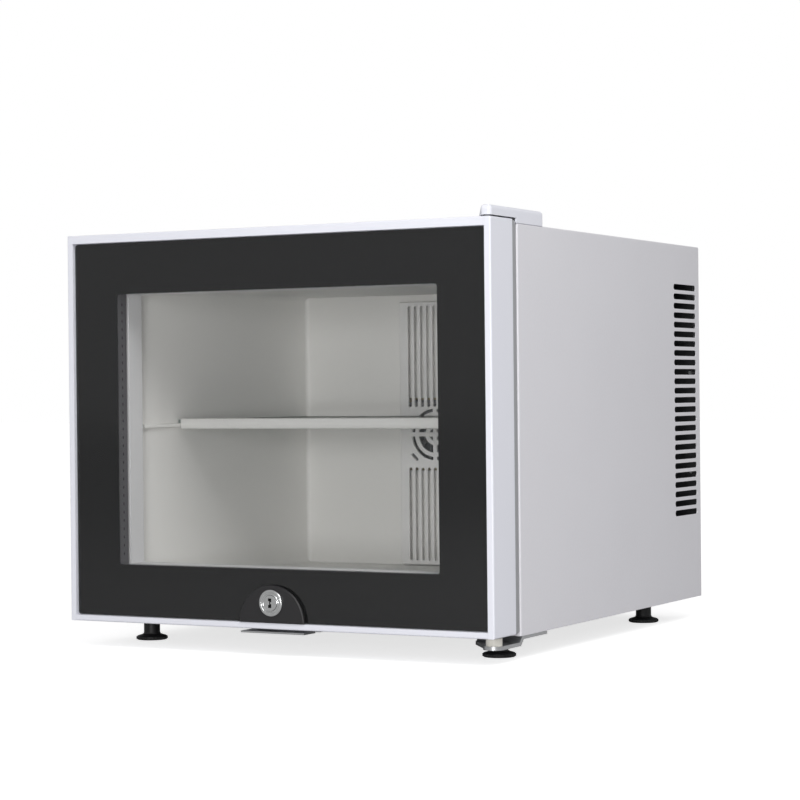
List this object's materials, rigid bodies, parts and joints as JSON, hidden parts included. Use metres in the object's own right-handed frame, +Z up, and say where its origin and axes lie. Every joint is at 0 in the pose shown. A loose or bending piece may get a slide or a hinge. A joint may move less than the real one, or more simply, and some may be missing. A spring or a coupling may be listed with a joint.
{
  "type": "beverage fridge",
  "caption": "Countertop beverage fridge with a framed dark-bordered glass door, key lock, glass shelf, side vents and thermoelectric cooling.",
  "frame": {"origin": "on the floor, under the middle of the part's overall box", "axes": "+X to the viewer's right when facing the door, +Y from the door to the back, +Z up"},
  "size_m": [0.4, 0.4494, 0.357],
  "materials": {
    "white_painted_steel": "satin powder coat",
    "galvanised_steel": "galvanised sheet",
    "insulating_foam": "foamed polyurethane",
    "grey_liner_plastic": "vacuum-formed satin",
    "white_frame_plastic": "satin moulding",
    "inner_frame_plastic": "satin moulding",
    "smoked_glass": "clear float glass",
    "shelf_glass": "toughened clear glass",
    "black_glass_print": "printed border",
    "spacer_aluminium": "anodised section",
    "black_sealant": "matt",
    "grey_gasket": "soft moulding",
    "gasket_ferrite": "plastic-bonded magnet",
    "shelf_trim_plastic": "satin moulding",
    "black_plastic": "fine grain",
    "extruded_aluminium": "extruded",
    "module_ceramic": "sintered",
    "module_seal_foam": "closed-cell foam",
    "circuit_board": "solder mask",
    "board_parts": "moulded",
    "zinc_steel": "zinc plated",
    "polished_steel": "ground",
    "cam_steel": "stamped",
    "white_nylon": "natural"
  },
  "bodies": {
    "cabinet": {"outer_wrap": "white_painted_steel", "base_plate": "galvanised_steel", "foam_insulation": "insulating_foam", "inner_liner": "grey_liner_plastic", "rear_bulkhead": "galvanised_steel", "rear_panel": "white_painted_steel", "rear_cover": "white_painted_steel", "rear_cover_screws": "zinc_steel", "cord_gland": "black_plastic", "fan_cover": "grey_liner_plastic", "cold_fan_frame": "black_plastic", "hot_fan_frame": "black_plastic", "cold_heat_sink": "extruded_aluminium", "cold_block": "extruded_aluminium", "peltier_module": "module_ceramic", "module_seal": "module_seal_foam", "hot_heat_sink": "extruded_aluminium", "hot_sink_screws": "zinc_steel", "power_board": "circuit_board", "board_standoffs": "zinc_steel", "board_components": "board_parts", "temperature_sensor": "white_nylon", "top_hinge_plate": "zinc_steel", "top_hinge_pin": "polished_steel", "top_hinge_screws": "zinc_steel", "top_hinge_cover": "white_frame_plastic", "lower_hinge_bracket": "zinc_steel", "lower_hinge_pin": "polished_steel", "lower_hinge_spacer": "white_nylon", "lock_keeper": "zinc_steel", "underside_screws": "zinc_steel", "foot_nuts": "zinc_steel"},
    "door": {"door_stile_left": "white_frame_plastic", "door_stile_right": "white_frame_plastic", "door_rail_top": "white_frame_plastic", "door_rail_bottom": "white_frame_plastic", "front_glass": "smoked_glass", "glass_print": "black_glass_print", "glass_spacer": "spacer_aluminium", "glass_sealant": "black_sealant", "inner_glass": "smoked_glass", "door_inner_frame": "inner_frame_plastic", "door_foam": "insulating_foam", "door_gasket": "grey_gasket", "gasket_magnet": "gasket_ferrite", "door_hinge_bushes": "white_nylon", "lock_escutcheon": "black_plastic", "lock_barrel": "polished_steel", "lock_nut": "zinc_steel"},
    "lock": {"lock_plug": "polished_steel", "lock_cam": "cam_steel"},
    "shelf": {"shelf_plate": "shelf_glass", "shelf_trim": "shelf_trim_plastic"},
    "cold_fan": {"cold_fan_impeller": "black_plastic"},
    "hot_fan": {"hot_fan_impeller": "black_plastic"},
    "front_left_foot": {"foot_front_left": "black_plastic"},
    "front_right_foot": {"foot_front_right": "black_plastic"},
    "rear_left_foot": {"foot_rear_left": "black_plastic"},
    "rear_right_foot": {"foot_rear_right": "black_plastic"}
  },
  "joints": [
    {"name": "door_hinge", "type": "hinge", "parent": "cabinet", "child": "door", "pos_m": [0.19, -0.2013, 0.022], "axis": [0, 0, 1], "range_deg": [0, 115]},
    {"name": "lock_turn", "type": "hinge", "parent": "door", "child": "lock", "pos_m": [0, -0.2013, 0.0435], "axis": [0, 1, 0], "range_deg": [0, 90]},
    {"name": "shelf_slide", "type": "slide", "parent": "cabinet", "child": "shelf", "axis": [0, -1, 0], "range_m": [0, 0.045]},
    {"name": "cold_fan_spin", "type": "hinge", "parent": "cabinet", "child": "cold_fan", "pos_m": [-0.016, 0.1047, 0.173], "axis": [0, 1, 0], "continuous": true},
    {"name": "hot_fan_spin", "type": "hinge", "parent": "cabinet", "child": "hot_fan", "pos_m": [-0.016, 0.1887, 0.173], "axis": [0, 1, 0], "continuous": true},
    {"name": "front_left_foot_turn", "type": "hinge", "parent": "cabinet", "child": "front_left_foot", "pos_m": [-0.168, -0.1473, 0.02], "axis": [0, 0, 1], "continuous": true},
    {"name": "front_right_foot_turn", "type": "hinge", "parent": "cabinet", "child": "front_right_foot", "pos_m": [0.168, -0.1473, 0.02], "axis": [0, 0, 1], "continuous": true},
    {"name": "rear_left_foot_turn", "type": "hinge", "parent": "cabinet", "child": "rear_left_foot", "pos_m": [-0.168, 0.1547, 0.02], "axis": [0, 0, 1], "continuous": true},
    {"name": "rear_right_foot_turn", "type": "hinge", "parent": "cabinet", "child": "rear_right_foot", "pos_m": [0.168, 0.1547, 0.02], "axis": [0, 0, 1], "continuous": true}
  ]
}
